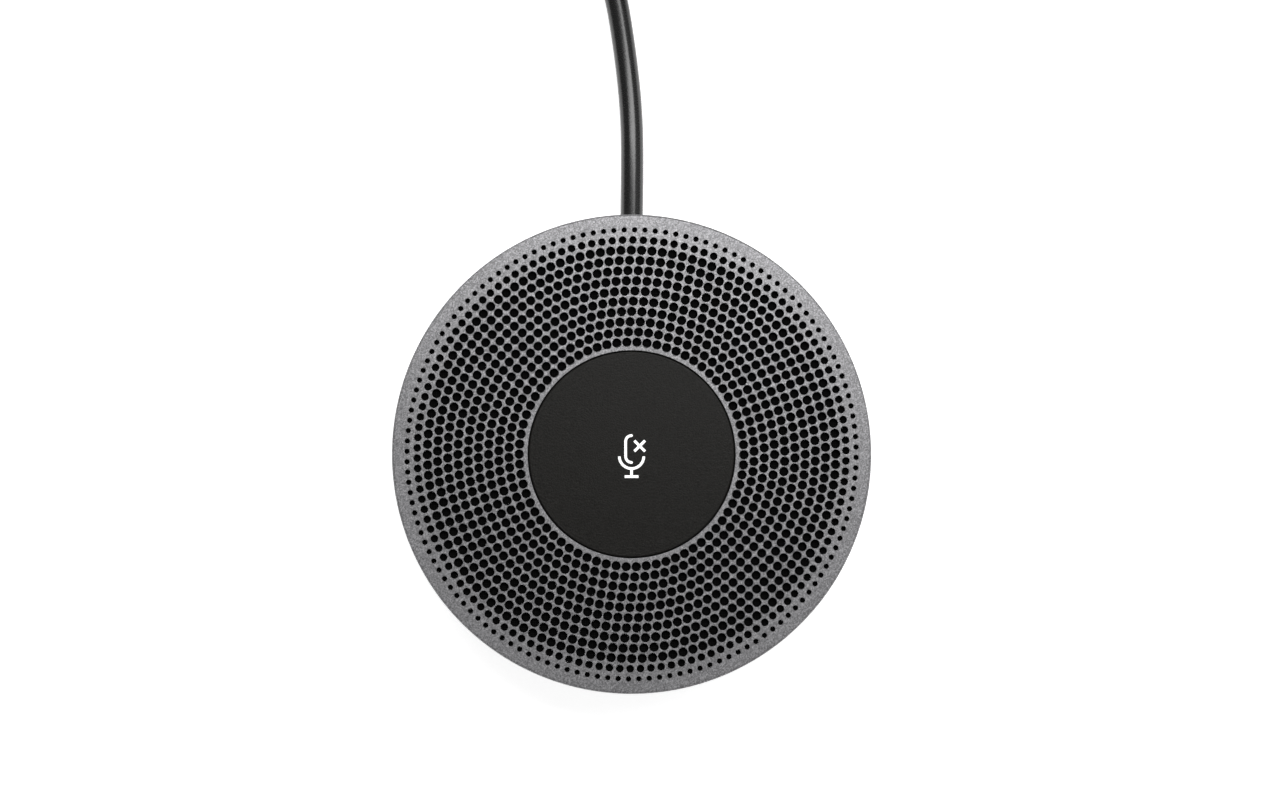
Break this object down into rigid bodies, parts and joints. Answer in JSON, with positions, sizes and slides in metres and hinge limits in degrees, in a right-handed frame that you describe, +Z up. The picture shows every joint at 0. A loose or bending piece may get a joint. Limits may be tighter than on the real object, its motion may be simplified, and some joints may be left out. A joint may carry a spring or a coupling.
{
  "type": "conference speakerphone microphone pod",
  "caption": "Round table-top microphone pod for a conference speakerphone: perforated grey cover, lit mute button in the middle, and a captive lead in a coil.",
  "frame": {"origin": "on the puck's axis at the plane of the table it stands on, under the centre of its foot ring", "axes": "+Z up along the puck's axis and the button's travel, +Y towards the lead's exit, -Y towards the person who speaks, +X to that person's right"},
  "size_m": [0.1097, 0.2161, 0.026],
  "materials": {
    "speckled_paint": "fine speckled grey baked enamel on perforated sheet",
    "black_cloth": "woven acoustic cloth",
    "frame_plastic": "moulded, lightly textured",
    "soft_touch": "soft-touch, fine leather grain",
    "light_guide": "frosted translucent",
    "carrier_plastic": "natural acetal",
    "spring_steel": "drawn wire",
    "switch_black": "moulded",
    "switch_stem": "moulded",
    "led_lens": "clear",
    "board_laminate": "glass-epoxy with green solder mask",
    "chip_black": "moulded epoxy",
    "tinned_steel": "tinned",
    "mic_metal": "gold-flashed can",
    "boot_rubber": "silicone",
    "screw_steel": "black zinc",
    "connector_white": "moulded nylon",
    "wire_red": "PVC insulation",
    "wire_white": "PVC insulation",
    "wire_green": "PVC insulation",
    "wire_black": "PVC insulation",
    "wire_bare": "tinned drain wire",
    "ballast_steel": "zinc-plated plate",
    "base_plastic": "moulded, fine spark texture",
    "foot_rubber": "soft elastomer",
    "label_film": "blank polyester film",
    "grommet_rubber": "moulded elastomer",
    "lead_jacket": "matt PVC jacket",
    "strap_weave": "hook-and-loop tape",
    "plug_overmould": "moulded PVC",
    "plug_nickel": "nickel-plated",
    "plug_insulator": "moulded",
    "contact_gold": "gold-plated"
  },
  "bodies": {
    "root": {"top_cover": "speckled_paint", "acoustic_cloth": "black_cloth", "top_frame": "frame_plastic", "return_springs": "spring_steel", "switch_body": "switch_black", "status_leds": "led_lens", "main_board": "board_laminate", "board_chips": "chip_black", "shield_can": "tinned_steel", "mic_capsules": "mic_metal", "mic_boots": "boot_rubber", "board_screws": "screw_steel", "board_header": "connector_white", "harness_plug": "connector_white", "wire_red": "wire_red", "wire_white": "wire_white", "wire_green": "wire_green", "wire_black": "wire_black", "wire_shield": "wire_bare", "ballast_plate": "ballast_steel", "base_shell": "base_plastic", "base_screws": "screw_steel", "foot_ring": "foot_rubber", "base_label": "label_film", "cable_grommet": "grommet_rubber", "cable_clamp": "frame_plastic", "clamp_screws": "screw_steel", "lead_inner": "lead_jacket", "lead_front": "lead_jacket", "lead_coil": "lead_jacket", "lead_tail": "lead_jacket", "coil_tie": "strap_weave", "plug_grip": "plug_overmould", "plug_shell": "plug_nickel", "plug_tongue": "plug_insulator", "plug_contacts": "contact_gold"},
    "button": {"button_cap": "soft_touch", "icon_light_guide": "light_guide", "button_carrier": "carrier_plastic"},
    "plunger": {"switch_plunger": "switch_stem"}
  },
  "joints": [
    {"name": "mute_button_press", "type": "slide", "parent": "root", "child": "button", "axis": [0, 0, 1], "range_m": [-0.0006, 0], "stiffness_N_per_m": 3500, "springref_m": 0.00001, "deforming": ["return_springs"]},
    {"name": "switch_plunger_press", "type": "slide", "parent": "root", "child": "plunger", "axis": [0, 0, 1], "range_m": [-0.0006, 0], "stiffness_N_per_m": 0.01, "springref_m": 0.014}
  ],
  "couplings": [
    {"joint": "switch_plunger_press", "follows": "mute_button_press", "ratio": 1}
  ]
}
